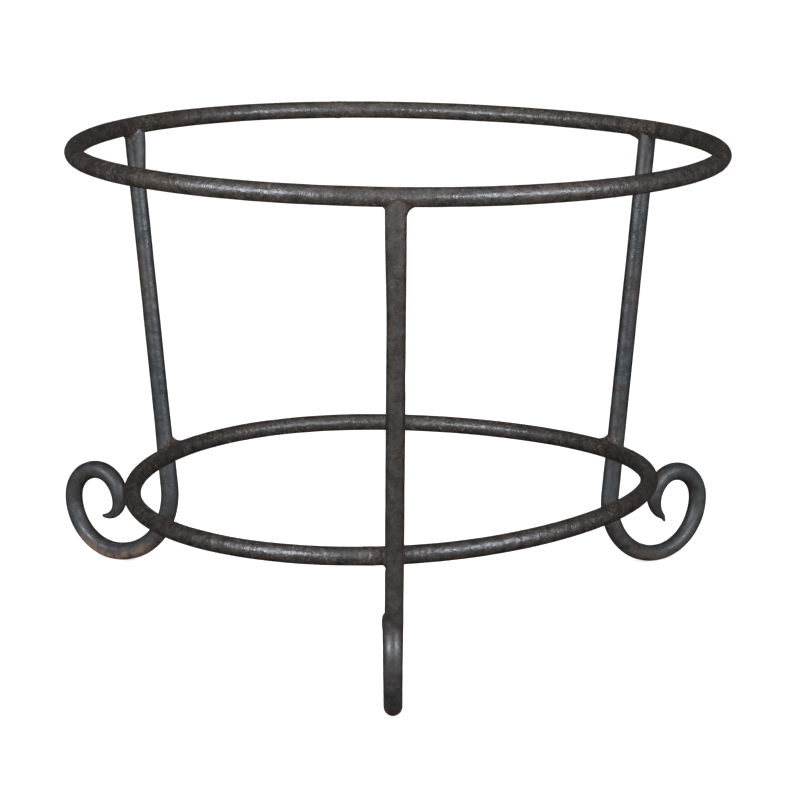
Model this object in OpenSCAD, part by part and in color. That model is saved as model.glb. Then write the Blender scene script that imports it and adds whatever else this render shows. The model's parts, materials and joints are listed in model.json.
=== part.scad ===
// Open round stand forged from round bar: a top ring and a smaller lower ring,
// held by splayed legs that each end in a tapered scroll foot. Every joint is
// welded, and nothing moves.
// Millimetres, +Z up. The origin is on the rings' axis at floor level, and the
// front leg points along -Y.

/* [Bar] */
// Diameter of the round bar that every ring and leg is made of
bar_d = 16; // [14:0.5:18]

/* [Rings] */
// Height of the top ring's upper side above the floor
stand_h = 431; // [410:1:450]
// Radius of the top ring, to the middle of its bar
top_ring_r = 284; // [275:1:295]
// Radius of the lower ring, to the middle of its bar
lower_ring_r = 235; // [230:1:240]
// Height of the middle of the lower ring's bar above the floor
lower_ring_z = 119; // [114:1:128]
// Direction of the weld that closes the top ring, from +X towards +Y
top_seam_deg = 100; // [50:1:130]
// Direction of the weld that closes the lower ring, from +X towards +Y
lower_seam_deg = 265; // [255:1:265]

/* [Legs] */
// Angle from the front leg round to each back leg
back_leg_deg = 121.6; // [116:0.2:124]

/* [Scroll feet] */
// Radius of the bend that stands on the floor
foot_bend_r = 62; // [58:1:66]
// Radius of the bend up the outer side
side_bend_r = 48; // [44:1:52]
// Radius of the bend over the top
top_bend_r = 30; // [28:1:34]
// Radius of the bend down the inner side
inner_bend_r = 23.5; // [22:0.5:26]
// Radius of the curl at the tip
tip_bend_r = 18; // [16:0.5:20]
// Direction of the bar where its taper starts, 180 being level over the top
taper_start_deg = 230; // [200:1:260]
// Direction of the bar at the tip, 360 being level under the curl
tip_end_deg = 345; // [320:1:355]
// Diameter at the tip
tip_d = 2; // [1.5:0.5:4]
// Depth of the flat worn under each foot
foot_wear = 0.3; // [0.2:0.1:0.6]

/* [Welds] */
// Gap between a leg's square-cut top end and the top ring
top_root_gap = 0.6; // [0.4:0.1:1.5]
// Gap between a leg and the outer side of the lower ring
side_root_gap = 0.3; // [0.2:0.1:0.6]
// Gap between the two ends of a ring's bar
seam_gap = 3; // [2:0.5:4]
// Length of the weld bead round that gap
seam_length = 7; // [5:0.5:9]
// Height of weld metal above the surface of the bar
weld_proud = 0.6; // [0.3:0.1:1]
// Radius of one drop of weld metal in a top weld's side beads
drop_r = 3.6; // [3:0.1:4]
// Radius of the bead round the place where a leg crosses the lower ring
bead_r = 3.6; // [3:0.1:4]

/* [Hidden] */
$fn = 96;
// Fragments round a whole ring, and round the section of its bar
RING_FN = 360;
BAR_FN = 48;

ring_color = "#4a4542";
leg_color = "#45494d";
weld_color = "#5a4a40";

// Directions of the three legs, from +X towards +Y
front_deg = -90;
right_deg = front_deg + back_leg_deg;
left_deg = front_deg - back_leg_deg;

bar_r = bar_d / 2;
top_ring_z = stand_h - bar_r;

// A leg is drawn in the XZ plane, with X outwards from the rings' axis. Its
// line runs from the middle of the top ring's bar down past the outer side of
// the lower ring's, and leans inwards as it goes down.
ring_inset = top_ring_r - lower_ring_r;
ring_drop = top_ring_z - lower_ring_z;
leg_offset = bar_d + side_root_gap;
lean_deg = atan(ring_inset / ring_drop) - asin(leg_offset / norm([ring_inset, ring_drop]));
leg_end = bar_r + top_root_gap;

// Height of the middle of the bar where it passes lowest
foot_z = bar_r - foot_wear;
bend_start_z = foot_z + foot_bend_r * (1 + sin(lean_deg));
bend_start_x = top_ring_r - (top_ring_z - bend_start_z) * tan(lean_deg);

// Bends of a scroll foot, as radius, then the bar's direction where the bend
// starts and where it ends: 0 is level outwards, 90 is up, 180 level inwards.
BENDS = [
  [foot_bend_r, -90 - lean_deg, 0],
  [side_bend_r, 0, 90],
  [top_bend_r, 90, 180],
  [inner_bend_r, 180, 270],
  [tip_bend_r, 270, tip_end_deg]
];
INNER_BEND = 3;
TIP_BEND = 4;

// Steps along the tapered tip, and sides of its section
TIP_STEPS = 18;
TIP_SIDES = 24;
// How the taper is spread along the tip: 1 is even, more keeps it full for longer
TAPER_POWER = 1.5;

// How far the ball where two stretches of a leg meet stands proud of the bar,
// so that they fuse cleanly
BALL_PROUD = 0.05;
// How far the tip's sections start inside the round bar, and how much slimmer
// than it they are there, so that the two fuse cleanly
TIP_LAP_DEG = 3;
TIP_STEP = 0.05;
// Drops in each side bead of a top weld, and how far they reach round the leg
SIDE_DROPS = 7;
SIDE_BEAD_DEG = 54;
// Radius of a lower weld's bead, from the middle of the crossing to its middle
crossing_r = bar_r * 0.8;
// Length of the leg that a top weld covers
weld_cover = 3;

// Direction from the centre of a bend to the bar, where the bar points along deg
function outwards(deg) = [sin(deg), -cos(deg)];

function bend_centre(i) = i == 0
  ? [bend_start_x + foot_bend_r * cos(lean_deg), foot_z + foot_bend_r]
  : bend_centre(i - 1) + (BENDS[i - 1][0] - BENDS[i][0]) * outwards(BENDS[i][1]);

// The bend that the bar is in where it points along deg, on the tapered tip
function tip_bend(deg) = deg < BENDS[TIP_BEND][1] ? INNER_BEND : TIP_BEND;

function tip_middle(deg) =
  bend_centre(tip_bend(deg)) + BENDS[tip_bend(deg)][0] * outwards(deg);

function tip_radius(part) =
  tip_d / 2 + (bar_r - TIP_STEP - tip_d / 2) * (1 - pow(part, TAPER_POWER));

function tip_section(part) =
  let (
    from_deg = taper_start_deg - TIP_LAP_DEG,
    deg = from_deg + part * (tip_end_deg - from_deg),
    middle = tip_middle(deg),
    out = outwards(deg),
    r = tip_radius(part)
  )
  [for (j = [0:TIP_SIDES - 1])
    let (turn = j * 360 / TIP_SIDES, across = r * cos(turn))
    [middle.x + across * out.x, r * sin(turn), middle.y + across * out.y]];

// Angle that a length along a ring's bar takes up at the ring's centre
function arc_deg(length, radius) = length / radius * 180 / PI;

// Round bar bent round the Z axis
module round_bend(radius, from_deg, to_deg, r) {
  rotate([0, 0, from_deg])
    rotate_extrude(angle = to_deg - from_deg, $fn = RING_FN)
      translate([radius, 0])
        circle(r = r, $fn = BAR_FN);
}

// A short stretch of a ring's bar where a leg meets it
module ring_stretch(radius, z) {
  reach = arc_deg(2 * bar_d, radius);
  translate([0, 0, z])
    round_bend(radius, -reach, reach, bar_r);
}

module ring_bar(radius, z, seam_deg) {
  gap = arc_deg(seam_gap, radius);
  translate([0, 0, z])
    round_bend(radius, seam_deg + gap / 2, seam_deg + 360 - gap / 2, bar_r);
}

// Weld metal between the two ends of a ring's bar, and a little proud of them
module ring_seam(radius, z, seam_deg) {
  reach = arc_deg(seam_length, radius) / 2;
  difference() {
    translate([0, 0, z])
      round_bend(radius, seam_deg - reach, seam_deg + reach, bar_r + weld_proud);
    ring_bar(radius, z, seam_deg);
  }
}

// The leg's own line: +Z here runs up the leg, from the middle of the top ring
module on_leg_line() {
  translate([top_ring_r, 0, top_ring_z])
    rotate([0, lean_deg, 0])
      children();
}

module straight_bar() {
  length = (top_ring_z - bend_start_z) / cos(lean_deg);
  on_leg_line()
    translate([0, 0, -length])
      cylinder(h = length - leg_end, r = bar_r);
}

module foot_bend(i, to_deg) {
  centre = bend_centre(i);
  translate([centre.x, 0, centre.y])
    rotate([90, 0, 0])
      round_bend(BENDS[i][0], BENDS[i][1] - 90, to_deg - 90, bar_r);
}

module tapered_tip() {
  points = [for (i = [0:TIP_STEPS]) each tip_section(i / TIP_STEPS)];
  first_end = [for (j = [0:TIP_SIDES - 1]) j];
  last_end = [for (j = [TIP_SIDES - 1:-1:0]) TIP_STEPS * TIP_SIDES + j];
  sides = [
    for (i = [0:TIP_STEPS - 1], j = [0:TIP_SIDES - 1])
      let (
        next = (j + 1) % TIP_SIDES,
        here = i * TIP_SIDES,
        ahead = here + TIP_SIDES
      )
      [here + j, ahead + j, ahead + next, here + next]
  ];
  polyhedron(points = points, faces = concat([first_end, last_end], sides), convexity = 4);
}

module meeting_ball(x, z) {
  translate([x, 0, z])
    sphere(r = bar_r + BALL_PROUD);
}

module leg_bar() {
  difference() {
    union() {
      straight_bar();
      meeting_ball(bend_start_x, bend_start_z);
      for (i = [0:INNER_BEND - 1])
        foot_bend(i, BENDS[i][2]);
      meeting_ball(bend_centre(0).x, foot_z);
      foot_bend(INNER_BEND, taper_start_deg);
      tapered_tip();
    }
    // the worn flat that the foot stands on
    translate([0, -bar_d, -bar_d])
      cube([2 * top_ring_r, 2 * bar_d, bar_d]);
  }
}

// Weld metal under the top ring: it fills the saddle above the leg's square
// end, with a bead of drops in the corner on each side
module top_weld() {
  difference() {
    on_leg_line() {
      translate([0, 0, -leg_end - weld_cover])
        cylinder(h = leg_end + weld_cover, r = bar_r + weld_proud);
      for (side = [-1, 1], i = [0:SIDE_DROPS - 1])
        let (turn = SIDE_BEAD_DEG * (2 * i / (SIDE_DROPS - 1) - 1))
        translate([bar_r * sin(turn), side * bar_r * cos(turn), -bar_r * cos(turn)])
          sphere(r = drop_r);
    }
    straight_bar();
    ring_stretch(top_ring_r, top_ring_z);
  }
}

// Weld metal round the place where a leg crosses the lower ring: a round bead
// that fills the wedge between the two bars
module lower_weld() {
  difference() {
    translate([lower_ring_r, 0, lower_ring_z])
      rotate([0, lean_deg, 0])
        translate([bar_r + side_root_gap / 2, 0, 0])
          rotate([0, 90, 0])
            round_bend(crossing_r, 0, 360, bead_r);
    straight_bar();
    ring_stretch(lower_ring_r, lower_ring_z);
  }
}

module top_ring() {
  color(ring_color) ring_bar(top_ring_r, top_ring_z, top_seam_deg);
}

module lower_ring() {
  color(ring_color) ring_bar(lower_ring_r, lower_ring_z, lower_seam_deg);
}

module top_ring_seam() {
  color(weld_color) ring_seam(top_ring_r, top_ring_z, top_seam_deg);
}

module lower_ring_seam() {
  color(weld_color) ring_seam(lower_ring_r, lower_ring_z, lower_seam_deg);
}

module leg_front() {
  color(leg_color) rotate([0, 0, front_deg]) leg_bar();
}

module leg_right() {
  color(leg_color) rotate([0, 0, right_deg]) leg_bar();
}

module leg_left() {
  color(leg_color) rotate([0, 0, left_deg]) leg_bar();
}

module top_weld_front() {
  color(weld_color) rotate([0, 0, front_deg]) top_weld();
}

module top_weld_right() {
  color(weld_color) rotate([0, 0, right_deg]) top_weld();
}

module top_weld_left() {
  color(weld_color) rotate([0, 0, left_deg]) top_weld();
}

module lower_weld_front() {
  color(weld_color) rotate([0, 0, front_deg]) lower_weld();
}

module lower_weld_right() {
  color(weld_color) rotate([0, 0, right_deg]) lower_weld();
}

module lower_weld_left() {
  color(weld_color) rotate([0, 0, left_deg]) lower_weld();
}

top_ring();
lower_ring();
leg_front();
leg_right();
leg_left();
top_weld_front();
top_weld_right();
top_weld_left();
lower_weld_front();
lower_weld_right();
lower_weld_left();
top_ring_seam();
lower_ring_seam();
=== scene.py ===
"""Looks of a forged ring stand: a top ring and a lower ring of round bar on three scroll-footed legs.

The CAD frame gives the sizes and places. Here each bar is remade as a hand-forged one, with uneven
rings, hammer marks, drawn-out tips and run weld beads, and gets its dark oxide finish.
Metres, +Z up, the front leg along -Y.
"""

import itertools
import json
import math

import bpy
import numpy as np
from mathutils import Matrix, Vector


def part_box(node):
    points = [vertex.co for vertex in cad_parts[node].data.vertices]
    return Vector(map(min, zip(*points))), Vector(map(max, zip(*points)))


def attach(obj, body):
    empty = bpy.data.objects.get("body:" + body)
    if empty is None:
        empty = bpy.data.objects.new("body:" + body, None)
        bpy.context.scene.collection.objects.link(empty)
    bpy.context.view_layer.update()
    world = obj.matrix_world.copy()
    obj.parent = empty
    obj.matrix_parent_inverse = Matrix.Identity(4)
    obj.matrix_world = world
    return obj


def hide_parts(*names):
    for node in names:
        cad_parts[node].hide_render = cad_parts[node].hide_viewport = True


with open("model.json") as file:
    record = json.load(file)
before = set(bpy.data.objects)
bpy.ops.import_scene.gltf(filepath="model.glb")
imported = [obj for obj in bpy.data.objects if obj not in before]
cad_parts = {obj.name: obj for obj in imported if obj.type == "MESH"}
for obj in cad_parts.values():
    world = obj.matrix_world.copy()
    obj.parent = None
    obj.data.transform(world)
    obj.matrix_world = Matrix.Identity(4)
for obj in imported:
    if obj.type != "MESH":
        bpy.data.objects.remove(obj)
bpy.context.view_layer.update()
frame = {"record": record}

MM = 0.001
LEG_NAMES = ("front", "right", "left")


# ---------------------------------------------------------------- sizes, from the frame


def ring_size(node):
    """Radius to the middle of the bar, height of that middle, and the bar's radius."""
    low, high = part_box(node)
    bar_r = (high.z - low.z) / 2
    return high.x - bar_r, (high.z + low.z) / 2, bar_r


def seam_angle(node):
    """Direction of a ring's closing weld, from +X towards +Y."""
    middle = sum(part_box(node), Vector()) / 2
    return math.atan2(middle.y, middle.x)


TOP_R, TOP_Z, BAR_R = ring_size("top_ring")
LOW_R, LOW_Z, _ = ring_size("lower_ring")
MOUNTS = {m["name"]: Vector(m["pos_m"]) for m in frame["record"]["mounts"]}
FOOT_ANGLE = {n: math.atan2(MOUNTS["foot_" + n].y, MOUNTS["foot_" + n].x) for n in LEG_NAMES}


# ---------------------------------------------------------------- hand-bent shapes

# Each ring: its middle circle, how its bar's thickness compares with the true bar, and where it
# closes. Its unevenness is a sum of waves round it, as (lobes, height in mm, direction of a crest in
# degrees), and no lobes is a change all round. Last, how scorched and how dark it is all round.
RING_FORM = {
    "top_ring": {
        "radius": TOP_R,
        "height": TOP_Z,
        "girth": 1.022,
        "seam": seam_angle("top_ring_seam"),
        "outward": [(0, -0.5, 0), (1, 1.8, 181), (2, 2.2, 2), (3, 6.0, -3), (4, 0.5, 27)],
        "upward": [(1, 1.2, 169), (2, 1.0, 40), (3, 0.5, -6)],
        "scorch": 0.0,
        "dark": 0.0,
    },
    "lower_ring": {
        "radius": LOW_R,
        "height": LOW_Z,
        "girth": 1.0,
        "seam": seam_angle("lower_ring_seam"),
        "outward": [(0, -1.8, 0), (1, 4.6, 148), (2, 5.2, 40), (3, 3.4, 8), (4, 0.8, -17)],
        "upward": [(0, -1.1, 0), (1, 4.8, 37), (2, 1.9, -39), (3, 1.2, -1)],
        "scorch": 0.25,
        "dark": 0.33,
    },
}

# Each leg, with its lengths in mm and its angles in degrees:
#   inset         how far its top sits inside the top ring's middle line
#   turn          its turn from the direction of its foot's mount
#   bends         (radius, heading where the bend ends). The heading is 0 level outwards, 90 up,
#                 180 level inwards and 270 down, and a radius below 0 turns back
#   swing         how far the curl swings sideways by its tip
#   taper_from    the heading where the taper starts, and taper_power how it is spread
#   tip_r         the tip's radius
#   girth         its thickness against the true bar, with foot_girth and scroll_girth on top of it
#   spread        how the hammered top end spreads: (how far, direction round the bar, reach)
#   nicks         (distance from the top, direction round the bar, depth, reach)
LEG_FORM = {
    "front": {
        "inset": 0.0,
        "turn": -0.25,
        "bends": [(55, 0), (47, 90), (29, 180), (23, 270), (15, 345)],
        "swing": -3.0,
        "taper_from": 226,
        "taper_power": 1.5,
        "tip_r": 1.3,
        "girth": 1.01,
        "foot_girth": 0.95,
        "scroll_girth": 1.0,
        "spread": [(1.7, -90, 110)],
        "nicks": [(313, -90, 0.9, 4.0), (150, 80, 0.3, 9.0)],
    },
    "right": {
        "inset": -0.9,
        "turn": 0.35,
        "bends": [(60, 0), (49, 90), (29, 180), (23.5, 250), (23.5, 322), (-13, 282)],
        "swing": 4.0,
        "taper_from": 217,
        "taper_power": 2.15,
        "tip_r": 0.75,
        "girth": 1.03,
        "foot_girth": 0.88,
        "scroll_girth": 1.05,
        "spread": [],
        "nicks": [(140, 10, 0.3, 8.0)],
    },
    "left": {
        "inset": -1.1,
        "turn": -0.3,
        "bends": [(65.5, 0), (48.3, 90), (29.9, 180), (25, 250), (27, 277), (18, 369)],
        "swing": 1.5,
        "taper_from": 228,
        "taper_power": 1.75,
        "tip_r": 1.1,
        "girth": 0.98,
        "foot_girth": 0.97,
        "scroll_girth": 1.09,
        "spread": [(4.0, -148, 60)],
        "nicks": [(532, 180, 0.8, 2.5), (100, -60, 0.3, 8.0)],
    },
}

# The leg's flat top end lies this far under the top ring's middle
LEG_TOP_CUT = 1.0 * MM
# The space between a leg and the lower ring, which the weld fills
ROOT_GAP = 0.3 * MM
# How much of the foot is worn flat, and how far from it the foot's own thickness reaches
FOOT_SINK = 0.2 * MM
FOOT_REACH = 45 * MM
# The scroll's own thickness comes in over this stretch of the leg above its foot
SCROLL_FROM, SCROLL_FULL = 190 * MM, 110 * MM
# The tip is rounded over this many of its radii
TIP_ROUNDING = 1.5
# The space between the two ends of a ring's bar, on each side of the seam
END_GAP = 1.2 * MM

# Mesh spacing along a bar and the number of sides round it
STEP = 1.2 * MM
SIDES = 48

LEG_ANGLE = {n: FOOT_ANGLE[n] + math.radians(LEG_FORM[n]["turn"]) for n in LEG_NAMES}


def waves(angle, terms):
    """Height at each angle of a sum of waves round a ring."""
    return MM * sum(high * np.cos(lobes * (angle - math.radians(crest))) for lobes, high, crest in terms)


def ring_centre(ring, angle):
    """Points of a ring's middle line at the given angles."""
    form = RING_FORM[ring]
    r = form["radius"] + waves(angle, form["outward"])
    height = form["height"] + waves(angle, form["upward"])
    return np.stack([r * np.cos(angle), r * np.sin(angle), height], axis=-1)


def leg_line(name):
    """Height of the leg's top, its distance out there, and its lean, from the rings it joins."""
    angle = np.float64(LEG_ANGLE[name])
    x, y, top_z = ring_centre("top_ring", angle)
    top_out = math.hypot(x, y) - LEG_FORM[name]["inset"] * MM
    x, y, low_z = ring_centre("lower_ring", angle)
    inset = top_out - math.hypot(x, y)
    drop = top_z - low_z
    lean = math.atan2(inset, drop) - math.asin((2 * BAR_R + ROOT_GAP) / math.hypot(inset, drop))
    return top_out, top_z, lean


def bend(here, heading, radius, stop):
    """Points and headings along one bend, and the point where it ends."""

    def point(at):
        return here + radius * np.array([math.sin(at) - math.sin(heading), math.cos(heading) - math.cos(at)])

    count = max(3, round(abs(radius * (stop - heading)) / STEP))
    headings = list(np.linspace(heading, stop, count, endpoint=False))
    return [point(at) for at in headings], headings, point(stop)


def leg_path(name):
    """A leg's middle line as (out, up) points, the heading at each, and the index of its first bend."""
    form = LEG_FORM[name]
    top_out, top_z, lean = leg_line(name)
    foot_z = BAR_R * form["girth"] * form["foot_girth"] * form["scroll_girth"] - FOOT_SINK
    bend_z = foot_z + form["bends"][0][0] * MM * (1 + math.sin(lean))
    bend_out = top_out - (top_z - bend_z) * math.tan(lean)
    start = np.array([top_out, top_z - LEG_TOP_CUT])
    here = np.array([bend_out, bend_z])
    first_bend = max(2, round(np.linalg.norm(here - start) / STEP))
    points = list(start + (here - start) * np.linspace(0, 1, first_bend, endpoint=False)[:, None])
    heading = -math.pi / 2 - lean
    headings = [heading] * first_bend
    for radius, stop in form["bends"]:
        stop = math.radians(stop)
        bent, turning, here = bend(here, heading, radius * MM, stop)
        points += bent
        headings += turning
        heading = stop
    points.append(here)
    headings.append(heading)
    return np.array(points), np.array(headings), first_bend


def leg_radius(name, along, headings):
    """The bar's radius along a leg: the taper to its tip, and where it was drawn out or left thick."""
    form = LEG_FORM[name]
    tip_r = form["tip_r"] * MM
    taper_at = along[np.argmax(headings >= math.radians(form["taper_from"]))]
    share = np.clip((along - taper_at) / (along[-1] - taper_at), 0, 1)
    radius = tip_r + (BAR_R - tip_r) * (1 - share ** form["taper_power"])
    from_tip = np.clip((along[-1] - along) / (TIP_ROUNDING * tip_r), 0, 1)
    radius *= np.sqrt(1 - (1 - from_tip) ** 2)
    foot_at = along[np.argmax(headings >= 0)]
    near_foot = np.exp(-(((along - foot_at) / FOOT_REACH) ** 2))
    in_scroll = smooth(foot_at - SCROLL_FROM, foot_at - SCROLL_FULL, along)
    girth = form["girth"] * (1 + (form["foot_girth"] - 1) * near_foot)
    girth *= 1 + (form["scroll_girth"] - 1) * in_scroll
    return radius * girth


# ---------------------------------------------------------------- noise and hammer marks


# Brings the noise to about -1 to 1
NOISE_GAIN = 1.6


def hashed(cells, seed):
    """A repeatable number from 0 to 1 for each row of whole numbers."""
    key = (cells[:, 0] * 73856093) ^ (cells[:, 1] * 19349663) ^ (cells[:, 2] * 83492791)
    key = (key ^ (seed * 40503 + 977)).astype(np.uint32)
    for factor in (0x85EBCA6B, 0xC2B2AE35):
        key = (key ^ (key >> np.uint32(15))) * np.uint32(factor)
    key ^= key >> np.uint32(16)
    return key.astype(np.float64) / 0xFFFFFFFF


def noise(points, size, seed):
    """Smooth noise of about -1 to 1 at the points, with bumps of the given size."""
    cells = np.asarray(points) / size
    base = np.floor(cells)
    part = cells - base
    ease = part**3 * (part * (part * 6 - 15) + 10)
    total = np.zeros(len(cells))
    for corner in itertools.product((0, 1), repeat=3):
        near = base.astype(np.int64) + np.array(corner)
        slope = np.stack([hashed(near, seed + 101 * i) for i in range(3)], axis=1) * 2 - 1
        weight = np.prod(np.where(corner, ease, 1 - ease), axis=1)
        total += weight * np.sum(slope * (part - np.array(corner)), axis=1)
    return NOISE_GAIN * total


def smooth(low, high, value):
    """0 below low, 1 above high, and an even ramp between them."""
    x = np.clip((value - low) / (high - low), 0, 1)
    return x * x * (3 - 2 * x)


def turned(angle):
    """An angle brought to between -pi and pi."""
    return (angle + math.pi) % (2 * math.pi) - math.pi


# One hammer flat for each such length of bar, and half its widest spread round the bar, in radians
FLAT_SPACING = 20 * MM
FLAT_HALF = 0.6


def hammer_flats(along, round_angle, length, closed, seed):
    """Depth of the shallow flats that a hammer leaves on a round bar."""
    rng = np.random.default_rng(seed)
    cut = np.zeros_like(along)
    for _ in range(int(length / FLAT_SPACING)):
        at = rng.uniform(0, length)
        side = rng.uniform(-math.pi, math.pi)
        reach = rng.uniform(7, 16) * MM
        depth = rng.uniform(0.04, 0.16) * MM
        off = np.abs(along - at)
        if closed:
            off = np.minimum(off, length - off)
        sink = depth * np.clip(1 - (off / reach) ** 2, 0, 1)
        across = np.abs(turned(round_angle - side))
        flat = (BAR_R - sink) / np.cos(np.clip(across, 0, FLAT_HALF)) - BAR_R
        cut = np.minimum(cut, np.where(across < FLAT_HALF, np.minimum(flat, 0), 0))
    return cut


# The unevenness of a forged bar's surface, as (height, size of the bumps) in mm
BUMPS = ((0.16, 70), (0.09, 24), (0.045, 9), (0.025, 4))
# Six faint faces left by the hammer run along it and wander round it, and it has patches of pits
FACES, FACE_HEIGHT = 6, 0.05 * MM
PIT_DEPTH = 0.10 * MM


def forged_relief(points, along, round_angle, length, closed, seed):
    """How far each point of a bar's surface lies above or below the true round."""
    wander = noise(points, 200 * MM, seed)
    strength = 1 + noise(points, 90 * MM, seed + 2)
    relief = FACE_HEIGHT * np.cos(FACES * round_angle + wander) * strength
    for more, (height, size) in enumerate(BUMPS, start=3):
        relief += height * MM * noise(points, size * MM, seed + more)
    pits = smooth(0.45, 0.8, noise(points, 4.5 * MM, seed + 7))
    patches = smooth(-0.1, 0.5, noise(points, 45 * MM, seed + 8))
    relief -= PIT_DEPTH * pits * patches
    return relief + hammer_flats(along, round_angle, length, closed, seed)


# ---------------------------------------------------------------- mesh helpers


def mesh_object(name, vertices, faces, material, finish):
    """A smooth-shaded mesh piece on the one body, with its finish as attributes of its points."""
    mesh = bpy.data.meshes.new(name)
    mesh.from_pydata(np.asarray(vertices).tolist(), [], faces)
    mesh.validate()
    for key, amount in finish.items():
        values = np.full(len(vertices), amount, dtype=np.float32)
        mesh.attributes.new(key, "FLOAT", "POINT").data.foreach_set("value", values)
    mesh.polygons.foreach_set("use_smooth", [True] * len(mesh.polygons))
    mesh.materials.append(material)
    piece = bpy.data.objects.new(name, mesh)
    bpy.context.scene.collection.objects.link(piece)
    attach(piece, "root")
    return piece


def grid_faces(rows, columns, closed_rows=False):
    """Quads of a grid whose columns close on themselves, and its rows too if asked."""
    faces = []
    for i in range(rows if closed_rows else rows - 1):
        a, b = i * columns, (i + 1) % rows * columns
        faces += [(a + j, a + (j + 1) % columns, b + (j + 1) % columns, b + j) for j in range(columns)]
    return faces


def tube_faces(rows, inside_out):
    """Faces of a bar of that many rows, closed by a fan at each end. The two hubs follow its points."""
    last = (rows - 1) * SIDES
    hub = rows * SIDES
    faces = grid_faces(rows, SIDES)
    faces += [(hub, (j + 1) % SIDES, j) for j in range(SIDES)]
    faces += [(last + j, last + (j + 1) % SIDES, hub + 1) for j in range(SIDES)]
    return [face[::-1] for face in faces] if inside_out else faces


def bar_surface(centres, side_a, side_b, radius, along, length, closed, seed):
    """Rows of points round a forged bar, and the angle round the bar of each."""
    angle = np.tile(np.linspace(0, 2 * math.pi, SIDES, endpoint=False), len(centres))
    middle, side_a, side_b = np.repeat(np.stack([centres, side_a, side_b]), SIDES, axis=1)
    outward = side_a * np.cos(angle)[:, None] + side_b * np.sin(angle)[:, None]
    wide = np.repeat(radius, SIDES)
    base = middle + outward * wide[:, None]
    relief = forged_relief(base, np.repeat(along, SIDES), angle, length, closed, seed)
    relief *= np.clip(wide / BAR_R, 0, 1)
    return base + outward * relief[:, None], angle


TOP_JOINTS = {n: ring_centre("top_ring", np.float64(LEG_ANGLE[n])) for n in LEG_NAMES}
LOW_JOINTS = {n: ring_centre("lower_ring", np.float64(LEG_ANGLE[n])) for n in LEG_NAMES}
SEAMS = {ring: ring_centre(ring, np.float64(RING_FORM[ring]["seam"])) for ring in RING_FORM}
ALL_WELDS = [*TOP_JOINTS.values(), *LOW_JOINTS.values(), *SEAMS.values()]
WELD_REACH = 16 * MM


def weld_scorch(points, welds=ALL_WELDS, reach=WELD_REACH):
    """1 at a weld, fading to 0 away from it."""
    near = np.min([np.linalg.norm(points - weld, axis=1) for weld in welds], axis=0)
    return np.exp(-((near / reach) ** 2))


# ---------------------------------------------------------------- bars


def make_ring(node, seed, material):
    """A ring of one bar, with its two ends apart at the seam."""
    form = RING_FORM[node]
    length = 2 * math.pi * form["radius"]
    count = round(length / STEP)
    end = END_GAP / form["radius"]
    turn = np.linspace(end, 2 * math.pi - end, count)
    along = turn * form["radius"]
    turn = turn + form["seam"]
    centres = ring_centre(node, turn)
    outward = np.stack([np.cos(turn), np.sin(turn), 0 * turn], axis=1)
    upward = np.tile([0.0, 0.0, 1.0], (count, 1))
    wide = np.full(count, BAR_R * form["girth"])
    points, _ = bar_surface(centres, outward, upward, wide, along, length, True, seed)
    vertices = np.vstack([points, centres[:1], centres[-1:]])
    finish = {
        "scorch": np.maximum(weld_scorch(vertices), form["scorch"]),
        "brown": 1.0,
        "dark": form["dark"],
    }
    ring = mesh_object("forged_" + node, vertices, tube_faces(count, True), material, finish)
    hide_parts(node)


def spread_top(name, run, angle):
    """How far the hammered top end of a leg stands out, as (outward, sideways) distances.

    It swells over the first few millimetres of the leg and fades out at its reach.
    """
    out, side = np.zeros(len(run)), np.zeros(len(run))
    for amount, towards, reach in LEG_FORM[name]["spread"]:
        towards = math.radians(towards)
        bulge = amount * MM * smooth(1 * MM, 6 * MM, run) * smooth(reach * MM, 5 * MM, run)
        bulge *= np.clip(np.cos(angle - towards), 0, 1) ** 1.5
        out += bulge * math.cos(towards)
        side += bulge * math.sin(towards)
    return out, side


# Half a nick's width round the bar, in radians
NICK_HALF = 0.5


def nick(name, points, centres, run, angle):
    """The points of a leg with its nicks pressed in."""
    outward = points - np.repeat(centres, SIDES, axis=0)
    outward /= np.maximum(np.linalg.norm(outward, axis=1), 1e-9)[:, None]
    for at, towards, depth, reach in LEG_FORM[name]["nicks"]:
        off_along = (run - at * MM) / (reach * MM)
        off_round = turned(angle - math.radians(towards)) / NICK_HALF
        points = points - (depth * MM * np.exp(-(off_along**2 + off_round**2)))[:, None] * outward
    return points


# Each leg's finish: how dark and how brown it is, the heights between which the brown comes in, how
# much rust its foot has, and the scorch under its top weld, as how far down it reaches, how dark it
# is and the side of the bar it faces, in degrees
LEG_FINISH = {
    "front": {
        "dark": 0.3,
        "brown": 1.25,
        "brown_from": (0.02, 0.12),
        "rust": 0.2,
        "scorch_reach": 42 * MM,
        "scorch_dark": 0.0,
        "scorch_faces": 0,
    },
    "right": {
        "dark": 0.24,
        "brown": 0.1,
        "brown_from": (0.10, 0.26),
        "rust": 0.2,
        "scorch_reach": 34 * MM,
        "scorch_dark": 0.6,
        "scorch_faces": 0,
    },
    "left": {
        "dark": 0.2,
        "brown": 0.1,
        "brown_from": (0.10, 0.26),
        "rust": 1.0,
        "scorch_reach": 38 * MM,
        "scorch_dark": 0.92,
        "scorch_faces": 62,
    },
}
# No leg is darker than this
DARKEST = 0.95
# Rust fades out between these heights, and the worn dull skin of the scrolls between the others
RUST_TOP, RUST_FULL = 32 * MM, 5 * MM
DULL_TOP, DULL_FULL = 150 * MM, 80 * MM


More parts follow.
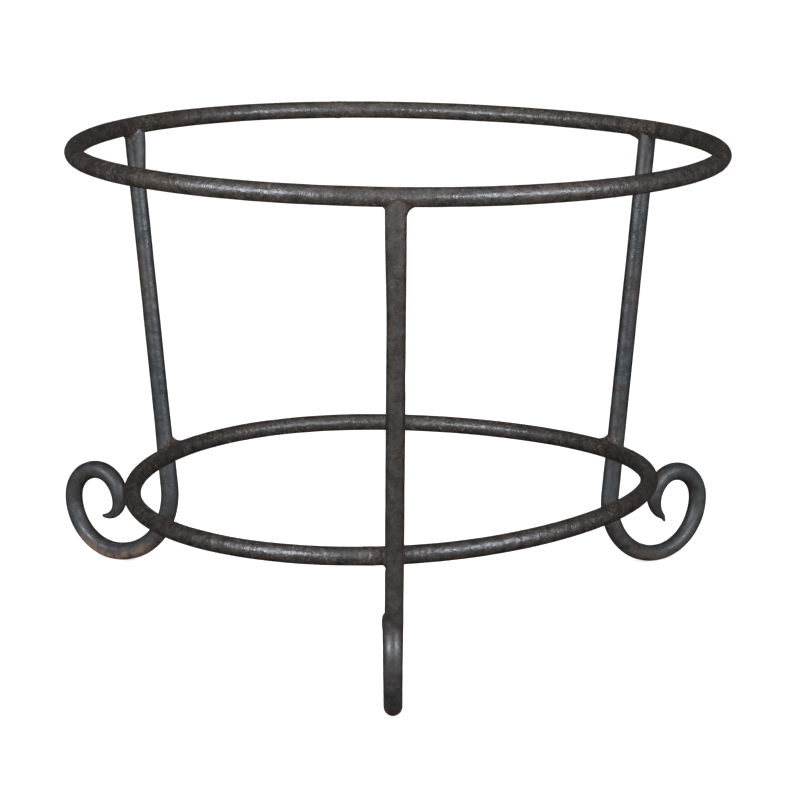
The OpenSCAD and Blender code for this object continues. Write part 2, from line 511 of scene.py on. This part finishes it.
def leg_finish(name, vertices, angle):
    """A leg's finish at each point: scorch, brown, rust, dark, drawn-out smoothness and dullness."""
    finish = LEG_FINISH[name]
    height = vertices[:, 2]
    top_scorch = weld_scorch(vertices, [TOP_JOINTS[name]], finish["scorch_reach"])
    scorched_side = smooth(-0.9, 0.4, np.cos(angle - math.radians(finish["scorch_faces"])))
    outer_side = smooth(-0.5, 0.4, -np.cos(angle))
    dark = finish["dark"] + finish["scorch_dark"] * top_scorch * scorched_side
    return {
        "scorch": np.maximum(weld_scorch(vertices), 0.9 * top_scorch),
        "brown": smooth(*finish["brown_from"], height) * finish["brown"],
        "rust": smooth(RUST_TOP, RUST_FULL, height) * outer_side * finish["rust"],
        "dark": np.clip(dark, 0, DARKEST),
        "drawn": 1.0,
        "dull": smooth(DULL_TOP, DULL_FULL, height),
    }


def make_leg(name, seed, material):
    """A leg with its scroll foot, drawn out to a point."""
    plane, headings, first_bend = leg_path(name)
    along = np.concatenate([[0], np.cumsum(np.linalg.norm(np.diff(plane, axis=0), axis=1))])
    radius = leg_radius(name, along, headings)
    in_bends = np.clip((along - along[first_bend]) / (along[-1] - along[first_bend]), 0, 1)
    swing = LEG_FORM[name]["swing"] * MM * in_bends
    azimuth = LEG_ANGLE[name]
    out = np.array([math.cos(azimuth), math.sin(azimuth), 0])
    side = np.array([-math.sin(azimuth), math.cos(azimuth), 0])
    up = np.array([0.0, 0.0, 1.0])
    centres = np.outer(plane[:, 0], out) + np.outer(plane[:, 1], up) + np.outer(swing, side)
    normal = -np.outer(np.sin(headings), out) + np.outer(np.cos(headings), up)
    across = np.tile(side, (len(plane), 1))
    points, angle = bar_surface(centres, normal, across, radius, along, along[-1] * 2, False, seed)
    run = np.repeat(along, SIDES)
    more_out, more_side = spread_top(name, run, angle)
    points += np.outer(more_out, out) + np.outer(more_side, side)
    points = nick(name, points, centres, run, angle)
    points[:, 2] = np.maximum(points[:, 2], 0)
    vertices = np.vstack([points, centres[:1], centres[-1:]])
    finish = leg_finish(name, vertices, np.append(angle, [0.0, 0.0]))
    leg = mesh_object("forged_leg_" + name, vertices, tube_faces(len(plane), False), material, finish)
    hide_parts("leg_" + name)


# ---------------------------------------------------------------- welds

# Weld metal is scorched and brown all over
WELD_FINISH = {"scorch": 1.0, "brown": 0.8}
# Points from a bead's toe on the ring to its toe on the leg, and points round the leg
BEAD_ACROSS = 13
BEAD_ROUND = 96
# How far a toe is sunk into its bar
TOE_SUNK = 0.3 * MM


def bead(name, node, lines, rough, seed, material):
    """A run weld bead: a band from one toe line to the other, bulging towards its corner line.

    The lines are its toe on the ring, its toe on the leg, its corner, and one hidden in the bars.
    """
    ring_toe, leg_toe, corner, hidden = lines
    share = np.linspace(0, 1, BEAD_ACROSS)
    across = share[:, None, None]
    band = (1 - across) ** 2 * ring_toe + 2 * across * (1 - across) * corner + across**2 * leg_toe
    points = np.concatenate([band, hidden[None]]).transpose(1, 0, 2).reshape(-1, 3)
    columns = BEAD_ACROSS + 1
    outward = points - np.repeat(hidden, columns, axis=0)
    outward /= np.maximum(np.linalg.norm(outward, axis=1), 1e-9)[:, None]
    crown = np.sin(math.pi * np.tile(np.append(share, 0), BEAD_ROUND))
    lumps = rough * MM * (noise(points, 5 * MM, seed) + 0.5 * noise(points, 2.4 * MM, seed + 1))
    points = points + outward * (crown * lumps)[:, None]
    faces = grid_faces(BEAD_ROUND, columns, True)
    piece = mesh_object(name, points, faces, material, WELD_FINISH)
    for edge in piece.data.edges:
        first, second = (vertex % columns for vertex in edge.vertices)
        edge.use_edge_sharp = first == second and first in (0, BEAD_ACROSS - 1)
    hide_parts(node)


class Joint:
    """The directions at a leg's joints: along the ring, up the leg, and outwards from both."""

    def __init__(self, name):
        _, _, lean = leg_line(name)
        azimuth = LEG_ANGLE[name]
        out = Vector((math.cos(azimuth), math.sin(azimuth), 0))
        along = Vector((-out.y, out.x, 0))
        up = (out * math.sin(lean) + Vector((0, 0, math.cos(lean)))).normalized()
        self.along = np.array(along)
        self.up = np.array(up)
        self.out = np.array(along.cross(up))

    def place(self, start, out, side, up):
        """Points at distances out, along the ring and up the leg from the start, or from each start."""
        return start + np.outer(out, self.out) + np.outer(side, self.along) + np.outer(up, self.up)


# The fillet under the top ring on each leg's two sides, the side towards lower angles first: how far
# it runs along the ring ("ring"), how far down the leg ("leg"), and how far its hollow is filled out
# ("fill"). Then how far the bead stands out on the leg's outer side, and how lumpy it is. All in mm.
TOP_WELD = {
    "front": {"ring": (4.6, 9.0), "leg": (6.0, 10.0), "fill": (0.0, 0.0), "crest": 0.1, "rough": 0.2},
    "right": {"ring": (2.5, 17.0), "leg": (4.0, 5.0), "fill": (0.0, 3.2), "crest": 1.2, "rough": 0.35},
    "left": {"ring": (9.0, 4.0), "leg": (7.0, 7.5), "fill": (2.6, 0.0), "crest": 1.2, "rough": 0.7},
}
# How far up round the ring the toe climbs on the leg's outer and inner sides
TOE_CLIMB = math.radians(20)


def make_top_weld(name, seed, material):
    """The bead that runs right round a leg's top, under the top ring."""
    form = TOP_WELD[name]
    joint = Joint(name)
    centre = TOP_JOINTS[name] - joint.out * LEG_FORM[name]["inset"] * MM
    turn = np.linspace(0, 2 * math.pi, BEAD_ROUND, endpoint=False)
    c, s = np.cos(turn), np.sin(turn)

    def by_side(pair):
        return np.where(s > 0, pair[1], pair[0]) * MM

    sunk = BAR_R - TOE_SUNK
    rim = np.arctan2(-np.abs(s), c) + TOE_CLIMB * np.abs(c)
    seat = ring_centre("top_ring", LEG_ANGLE[name] + (BAR_R + by_side(form["ring"])) * s / TOP_R)
    ring_toe = joint.place(seat, sunk * np.cos(rim), 0 * turn, sunk * np.sin(rim))

    down = BAR_R * np.abs(s) + by_side(form["leg"]) * (0.4 + 0.6 * np.abs(s)) + 1 * MM
    more_out, more_side = spread_top(name, down, turn)
    leg_toe = joint.place(centre, sunk * c + more_out, sunk * s + more_side, -down)

    fill = by_side(form["fill"])
    crest = np.where(c > 0, form["crest"], 0.1) * MM
    corner_out = (BAR_R + crest) * c + more_out / 2
    corner_side = (BAR_R + 0.4 * MM + fill) * s + more_side / 2
    corner_down = (BAR_R + 0.2 * MM + 0.6 * fill) * np.abs(s) + 0.5 * MM
    corner = joint.place(centre, corner_out, corner_side, -corner_down)

    # Well inside both bars
    inner = 0.75 * BAR_R
    hidden = joint.place(centre, inner * c, inner * s, -0.8 * BAR_R * np.abs(s) - 1 * MM)
    lines = (ring_toe, leg_toe, corner, hidden)
    bead("bead_top_" + name, "top_weld_" + name, lines, form["rough"], seed, material)


# Where each lower weld is fullest: turn round the contact in degrees, and its extra width there
# along the ring and along the leg, in mm
LOW_LUMPS = {
    "front": [(215, 3.0, 3.0), (40, 1.5, 1.5)],
    "right": [(45, 9.5, 4.5), (100, 0.0, 3.0), (270, 0.0, 3.0)],
    "left": [(135, 5.0, 5.0), (60, 1.0, 1.0), (270, 0.0, 3.0)],
}
# A lump's half width round the contact, in radians, the bead's width everywhere, and its lumpiness
LUMP_HALF = 0.6
LOW_WIDTH = 1.6
LOW_ROUGH = 0.5
# Below 1, the power that squares the bead's outline towards its four corners
SQUARING = 0.35


def make_lower_weld(name, seed, material):
    """The bead round the place where a leg passes the lower ring's outer side."""
    joint = Joint(name)
    centre = LOW_JOINTS[name] + joint.out * (BAR_R + ROOT_GAP / 2)
    turn = np.linspace(0, 2 * math.pi, BEAD_ROUND, endpoint=False)
    c, s = np.cos(turn), np.sin(turn)
    on_ring = np.full(len(turn), LOW_WIDTH)
    on_leg = np.full(len(turn), LOW_WIDTH)
    for at, more_on_ring, more_on_leg in LOW_LUMPS[name]:
        near = np.exp(-((turned(turn - math.radians(at)) / LUMP_HALF) ** 2))
        on_ring += more_on_ring * near
        on_leg += more_on_leg * near
    square_c = np.sign(c) * np.abs(c) ** SQUARING
    square_s = np.sign(s) * np.abs(s) ** SQUARING
    core = BAR_R - 2 * TOE_SUNK
    edge = core + TOE_SUNK

    side, up = (core + on_ring * MM) * square_c, core * square_s
    seat = ring_centre("lower_ring", LEG_ANGLE[name] + side / LOW_R)
    ring_out = np.sqrt(np.maximum(BAR_R**2 - up**2, 0)) - 0.2 * MM
    ring_toe = joint.place(seat, ring_out, 0 * turn, up)

    side, up = core * square_c, (core + on_leg * MM) * square_s
    leg_out = BAR_R - np.sqrt(np.maximum(BAR_R**2 - side**2, 0)) + TOE_SUNK
    leg_toe = joint.place(centre, leg_out, side, up)

    corner = joint.place(centre, 0 * turn, edge * square_c, edge * square_s)
    hidden = joint.place(centre, 0 * turn, 3 * MM * c, 3 * MM * s)
    lines = (ring_toe, leg_toe, corner, hidden)
    bead("bead_lower_" + name, "lower_weld_" + name, lines, LOW_ROUGH, seed, material)


# A dressed seam: half its length, rows of points along it, how far its ends are sunk and its middle
# raised again, and the slanting groove of the scarf, as its slant, depth and width
SEAM_HALF = 11 * MM
SEAM_ROWS = 44
SEAM_SUNK, SEAM_RAISED = 0.5 * MM, 0.75 * MM
SCARF_SLANT, SCARF_DEPTH, SCARF_WIDTH = 5 * MM, 0.7 * MM, 0.9 * MM


def make_seam(ring, seed, material):
    """The dressed weld that closes a ring: a rough band with the scarf showing as a slanting groove."""
    form = RING_FORM[ring]
    run = np.linspace(-SEAM_HALF, SEAM_HALF, SEAM_ROWS)
    turn = run / form["radius"] + form["seam"]
    centres = ring_centre(ring, turn)
    outward = np.stack([np.cos(turn), np.sin(turn), 0 * turn], axis=1)
    round_angle = np.tile(np.linspace(0, 2 * math.pi, SIDES, endpoint=False), SEAM_ROWS)
    middle, outward = np.repeat(np.stack([centres, outward]), SIDES, axis=1)
    ray = outward * np.cos(round_angle)[:, None] + np.outer(np.sin(round_angle), [0, 0, 1.0])
    base = middle + ray * BAR_R
    along = np.repeat(run, SIDES)
    crown = 1 - (along / SEAM_HALF) ** 4
    lumps = 0.30 * noise(base, 4.5 * MM, seed) + 0.14 * noise(base, 1.9 * MM, seed + 1)
    relief = SEAM_RAISED * crown - SEAM_SUNK + crown * lumps * MM
    scarf_at = SCARF_SLANT * np.sin(round_angle - 0.6) + 1.2 * MM * noise(base, 6 * MM, seed + 2)
    relief -= SCARF_DEPTH * np.exp(-(((along - scarf_at) / SCARF_WIDTH) ** 2))
    vertices = np.vstack([base + ray * relief[:, None], centres[:1], centres[-1:]])
    faces = tube_faces(SEAM_ROWS, True)
    piece = mesh_object(f"dressed_{ring}_seam", vertices, faces, material, WELD_FINISH)
    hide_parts(ring + "_seam")


# ---------------------------------------------------------------- materials


class Nodes:
    """Short calls that add and link the nodes of one material."""

    def __init__(self, name):
        self.material = bpy.data.materials.new(name)
        self.material.use_nodes = True
        self.tree = self.material.node_tree
        self.shader = self.tree.nodes["Principled BSDF"]
        self.coords = self.tree.nodes.new("ShaderNodeTexCoord").outputs["Object"]

    def put(self, socket, value):
        """Link a node's output to a socket, or set the socket to a number."""
        if isinstance(value, bpy.types.NodeSocket):
            self.tree.links.new(value, socket)
        else:
            socket.default_value = value

    def noise(self, size, detail=3.0, rough=0.55):
        """Noise of about 0 to 1 with bumps of the given size in metres."""
        node = self.tree.nodes.new("ShaderNodeTexNoise")
        self.put(node.inputs["Vector"], self.coords)
        self.put(node.inputs["Scale"], 1 / size)
        self.put(node.inputs["Detail"], detail)
        self.put(node.inputs["Roughness"], rough)
        return node.outputs["Fac"]

    def attribute(self, name):
        """One part of the finish that the mesh carries, or 0 where the mesh has none."""
        node = self.tree.nodes.new("ShaderNodeAttribute")
        node.attribute_name = name
        return node.outputs["Fac"]

    def math(self, operation, a, b, clamp=False):
        """One arithmetic step on two values."""
        node = self.tree.nodes.new("ShaderNodeMath")
        node.operation = operation
        node.use_clamp = clamp
        self.put(node.inputs[0], a)
        self.put(node.inputs[1], b)
        return node.outputs[0]

    def times(self, a, b):
        """The product of two values."""
        return self.math("MULTIPLY", a, b)

    def plus(self, a, b):
        """The sum of two values, kept between 0 and 1."""
        return self.math("ADD", a, b, clamp=True)

    def less(self, a, share=1.0):
        """1 less the given share of a value."""
        return self.math("SUBTRACT", 1.0, a if share == 1.0 else self.times(a, share))

    def ramp(self, value, low, high, out_low=0.0, out_high=1.0):
        """A smooth step of value from low to high."""
        node = self.tree.nodes.new("ShaderNodeMapRange")
        node.interpolation_type = "SMOOTHSTEP"
        sockets = ("Value", "From Min", "From Max", "To Min", "To Max")
        for socket, number in zip(sockets, (value, low, high, out_low, out_high)):
            self.put(node.inputs[socket], number)
        return node.outputs["Result"]

    def grey(self, value):
        """A grey of the given brightness."""
        node = self.tree.nodes.new("ShaderNodeCombineColor")
        for i in range(3):
            self.put(node.inputs[i], value)
        return node.outputs[0]

    def mix(self, factor, a, b, blend="MIX"):
        """One colour over another, by the factor."""
        node = self.tree.nodes.new("ShaderNodeMix")
        node.data_type = "RGBA"
        node.blend_type = blend
        self.put(node.inputs[0], factor)
        for socket, colour in ((node.inputs[6], a), (node.inputs[7], b)):
            self.put(socket, colour if isinstance(colour, bpy.types.NodeSocket) else (*colour, 1.0))
        return node.outputs[2]

    def bump(self, height, distance, strength, normal=None):
        """The surface direction with small bumps on it."""
        node = self.tree.nodes.new("ShaderNodeBump")
        node.inputs["Strength"].default_value = strength
        node.inputs["Distance"].default_value = distance
        self.put(node.inputs["Height"], height)
        if normal is not None:
            self.put(node.inputs["Normal"], normal)
        return node.outputs["Normal"]


GREY_OXIDE = (0.034, 0.034, 0.034)
BROWN_OXIDE = (0.046, 0.036, 0.028)
DARK_SCALE = (0.012, 0.011, 0.010)
BARE_SPECK = (0.24, 0.21, 0.18)
OLD_RUST = (0.30, 0.185, 0.13)
WELD_BROWN = (0.058, 0.038, 0.027)


def oxide_iron(name, weld=0.0):
    """Blackened forged iron: grey oxide turning brown, scale pits, bare specks and a little rust."""
    n = Nodes(name)
    scorch = n.attribute("scorch")
    drawn = n.attribute("drawn")

    # Oxide, browner in places and scorched near welds
    patchy = n.ramp(n.noise(0.055), 0.35, 0.7, -0.2, 0.5)
    brown = n.plus(n.times(n.attribute("brown"), 0.75), patchy)
    colour = n.mix(brown, GREY_OXIDE, BROWN_OXIDE)
    colour = n.mix(n.times(scorch, 0.55 + weld), colour, WELD_BROWN)

    # Mottled light and dark, at two sizes
    mottle = n.ramp(n.noise(0.009, 4.0, 0.65), 0.3, 0.72, 0.55, 1.5)
    fine = n.ramp(n.noise(0.0022, 3.0, 0.6), 0.3, 0.7, 0.65, 1.4)
    shade = n.times(n.times(mottle, fine), n.less(n.attribute("dark")))
    colour = n.mix(1.0, colour, n.grey(shade), "MULTIPLY")

    # Patches of black scale
    scale = n.ramp(n.noise(0.0055, 5.0, 0.6), 0.56, 0.66)
    colour = n.mix(n.times(scale, 0.6), colour, DARK_SCALE)

    # Bare specks, more of them near welds and few on the drawn-out legs
    speckled = n.plus(n.times(n.ramp(n.noise(0.05, 2.0), 0.45, 0.66), 0.45), n.times(scorch, 0.5))
    speck = n.times(n.ramp(n.noise(0.0022, 2.0, 0.5), 0.60, 0.70), speckled)
    colour = n.mix(n.times(speck, n.less(drawn, 0.75)), colour, BARE_SPECK)

    # Rust on the feet
    rust = n.times(n.attribute("rust"), n.ramp(n.noise(0.016, 5.0, 0.7), 0.30, 0.60))
    colour = n.mix(n.times(rust, 0.9), colour, OLD_RUST)
    n.put(n.shader.inputs["Base Color"], colour)

    # Duller where it is rusty, scaled, scorched or worn
    rough = n.ramp(n.noise(0.010, 4.0, 0.6), 0.3, 0.7, 0.22, 0.44)
    rough = n.plus(rough, n.times(n.math("ADD", rust, scale), 0.14))
    rough = n.plus(rough, n.times(scorch, n.ramp(drawn, 0.0, 1.0, 0.12, 0.3)))
    rough = n.plus(rough, n.times(n.attribute("dull"), 0.13))
    n.put(n.shader.inputs["Roughness"], rough)
    n.shader.inputs["Metallic"].default_value = 0.0
    n.shader.inputs["IOR"].default_value = 1.85

    # Small marks and a fine grain
    marks = n.times(n.noise(0.008, 3.0, 0.6), n.less(drawn, 0.6))
    coarse = n.bump(marks, 0.0022, 0.6)
    n.put(n.shader.inputs["Normal"], n.bump(n.noise(0.0012, 2.0, 0.5), 0.0002, 0.4, coarse))
    return n.material


def floor_material():
    """Matt pale paper with the faintest tooth."""
    n = Nodes("studio_floor")
    n.put(n.shader.inputs["Base Color"], n.grey(n.ramp(n.noise(0.4, 2.0), 0.3, 0.7, 0.95, 0.97)))
    n.shader.inputs["Roughness"].default_value = 0.95
    n.shader.inputs["Specular IOR Level"].default_value = 0.1
    n.shader.inputs["Emission Color"].default_value = (1.0, 1.0, 1.0, 1.0)
    n.shader.inputs["Emission Strength"].default_value = 0.6
    return n.material


# ---------------------------------------------------------------- studio

# The camera: metres, degrees, and millimetres for the lens
CAMERA_AT = Vector((-0.036, -2.5777, 0.7713))
CAMERA_TURN = 0.95
CAMERA_DIP = 12.60
CAMERA_ROLL = 0.36
CAMERA_LENS = 131.7


def make_camera():
    """A long lens from in front and a little above."""
    data = bpy.data.cameras.new("camera")
    data.sensor_width = 36.0
    data.lens = CAMERA_LENS
    camera = bpy.data.objects.new("camera", data)
    aim = (
        Matrix.Rotation(math.radians(-CAMERA_TURN), 4, "Z")
        @ Matrix.Rotation(math.radians(90 - CAMERA_DIP), 4, "X")
        @ Matrix.Rotation(math.radians(CAMERA_ROLL), 4, "Z")
    )
    camera.matrix_world = Matrix.Translation(CAMERA_AT) @ aim
    bpy.context.scene.collection.objects.link(camera)
    bpy.context.scene.camera = camera


# The soft boxes stand this many degrees above the stand's middle and this far from it
BOX_RISE = 21
BOX_DISTANCE = 1.7
BOX_WIDTH, BOX_HEIGHT = 1.1, 0.5
BOX_COLOUR = (0.83, 0.88, 1.0)


def soft_box(name, azimuth, power):
    """A wide soft light aimed at the middle of the stand."""
    data = bpy.data.lights.new(name, "AREA")
    data.shape = "RECTANGLE"
    data.size = BOX_WIDTH
    data.size_y = BOX_HEIGHT
    data.energy = power
    data.color = BOX_COLOUR
    light = bpy.data.objects.new(name, data)
    azimuth = math.radians(azimuth)
    rise = math.radians(BOX_RISE)
    level = Vector((math.cos(azimuth), math.sin(azimuth), 0))
    aim = level * math.cos(rise) + Vector((0, 0, math.sin(rise)))
    light.location = Vector((0, 0, TOP_Z / 2)) + aim * BOX_DISTANCE
    light.rotation_mode = "QUATERNION"
    light.rotation_quaternion = aim.to_track_quat("Z", "Y")
    bpy.context.scene.collection.objects.link(light)


# The surroundings, as (colour, strength). Soft light comes from the front and above, and is weaker
# and warmer from behind. Reflections see a dim room instead: its floor, walls, ceiling and far end.
SOFT_BEHIND = ((1.0, 0.72, 0.6), 0.17)
SOFT_FRONT = ((1.0, 0.99, 0.96), 0.95)
ROOM_FLOOR = ((1.0, 0.78, 0.66), 0.10)
ROOM_WALLS = ((0.90, 0.96, 1.0), 0.40)
ROOM_CEILING = ((0.97, 1.0, 0.97), 0.50)
ROOM_FAR_END = ((0.9, 0.9, 1.0), 0.02)
WHITE_PAPER = ((1.0, 1.0, 1.0), 1.0)
FRONT_AND_ABOVE = (0.0, -0.86, 0.5)


def make_world():
    """Pale surroundings for the camera and for soft light, and a dim room in reflections."""
    world = bpy.data.worlds.new("studio")
    bpy.context.scene.world = world
    world.use_nodes = True
    tree = world.node_tree
    tree.nodes.clear()
    coords = tree.nodes.new("ShaderNodeTexCoord")
    split = tree.nodes.new("ShaderNodeSeparateXYZ")
    tree.links.new(coords.outputs["Generated"], split.inputs[0])
    path = tree.nodes.new("ShaderNodeLightPath")

    def background(tone):
        colour, strength = tone
        node = tree.nodes.new("ShaderNodeBackground")
        node.inputs["Color"].default_value = (*colour, 1.0)
        node.inputs["Strength"].default_value = strength
        return node.outputs[0]

    def blend(factor, a, b):
        node = tree.nodes.new("ShaderNodeMixShader")
        tree.links.new(factor, node.inputs[0])
        tree.links.new(a, node.inputs[1])
        tree.links.new(b, node.inputs[2])
        return node.outputs[0]

    def ramp(value, low, high):
        node = tree.nodes.new("ShaderNodeMapRange")
        node.interpolation_type = "SMOOTHSTEP"
        tree.links.new(value, node.inputs["Value"])
        node.inputs["From Min"].default_value = low
        node.inputs["From Max"].default_value = high
        return node.outputs["Result"]

    towards = tree.nodes.new("ShaderNodeVectorMath")
    towards.operation = "DOT_PRODUCT"
    tree.links.new(coords.outputs["Generated"], towards.inputs[0])
    towards.inputs[1].default_value = FRONT_AND_ABOVE
    frontal = ramp(towards.outputs["Value"], -0.55, 1.0)
    soft = blend(frontal, background(SOFT_BEHIND), background(SOFT_FRONT))

    above_floor = ramp(split.outputs["Z"], -0.95, 0.15)
    above_walls = ramp(split.outputs["Z"], 0.15, 0.75)
    behind = ramp(split.outputs["Y"], -0.35, 0.30)
    room = blend(above_floor, background(ROOM_FLOOR), background(ROOM_WALLS))
    room = blend(above_walls, room, background(ROOM_CEILING))
    room = blend(behind, room, background(ROOM_FAR_END))

    light = blend(path.outputs["Is Glossy Ray"], soft, room)
    seen = blend(path.outputs["Is Camera Ray"], light, background(WHITE_PAPER))
    output = tree.nodes.new("ShaderNodeOutputWorld")
    tree.links.new(seen, output.inputs["Surface"])


FLOOR_HALF = 12.0


def make_floor():
    """A wide pale floor that only the camera and shadows see."""
    corners = [(x * FLOOR_HALF, y * FLOOR_HALF, 0) for x, y in ((-1, -1), (1, -1), (1, 1), (-1, 1))]
    mesh = bpy.data.meshes.new("floor")
    mesh.from_pydata(corners, [], [(0, 1, 2, 3)])
    mesh.materials.append(floor_material())
    floor = bpy.data.objects.new("floor", mesh)
    bpy.context.scene.collection.objects.link(floor)
    floor.visible_glossy = False
    floor.visible_diffuse = False


# ---------------------------------------------------------------- the scene

bar_iron = oxide_iron("oxide_iron")
weld_iron = oxide_iron("weld_iron", weld=0.3)

# The last numbers are the pieces' seeds
make_ring("top_ring", 11, bar_iron)
make_ring("lower_ring", 23, bar_iron)
for index, leg in enumerate(LEG_NAMES):
    make_leg(leg, 41 + 10 * index, bar_iron)
    make_top_weld(leg, 111 + 10 * index, weld_iron)
    make_lower_weld(leg, 171 + 10 * index, weld_iron)
make_seam("top_ring", 231, weld_iron)
make_seam("lower_ring", 241, weld_iron)

make_camera()
make_world()
make_floor()
soft_box("soft_box_left", -132, 17)
soft_box("soft_box_right", -46, 16)
bpy.context.scene.view_settings.view_transform = "Standard"
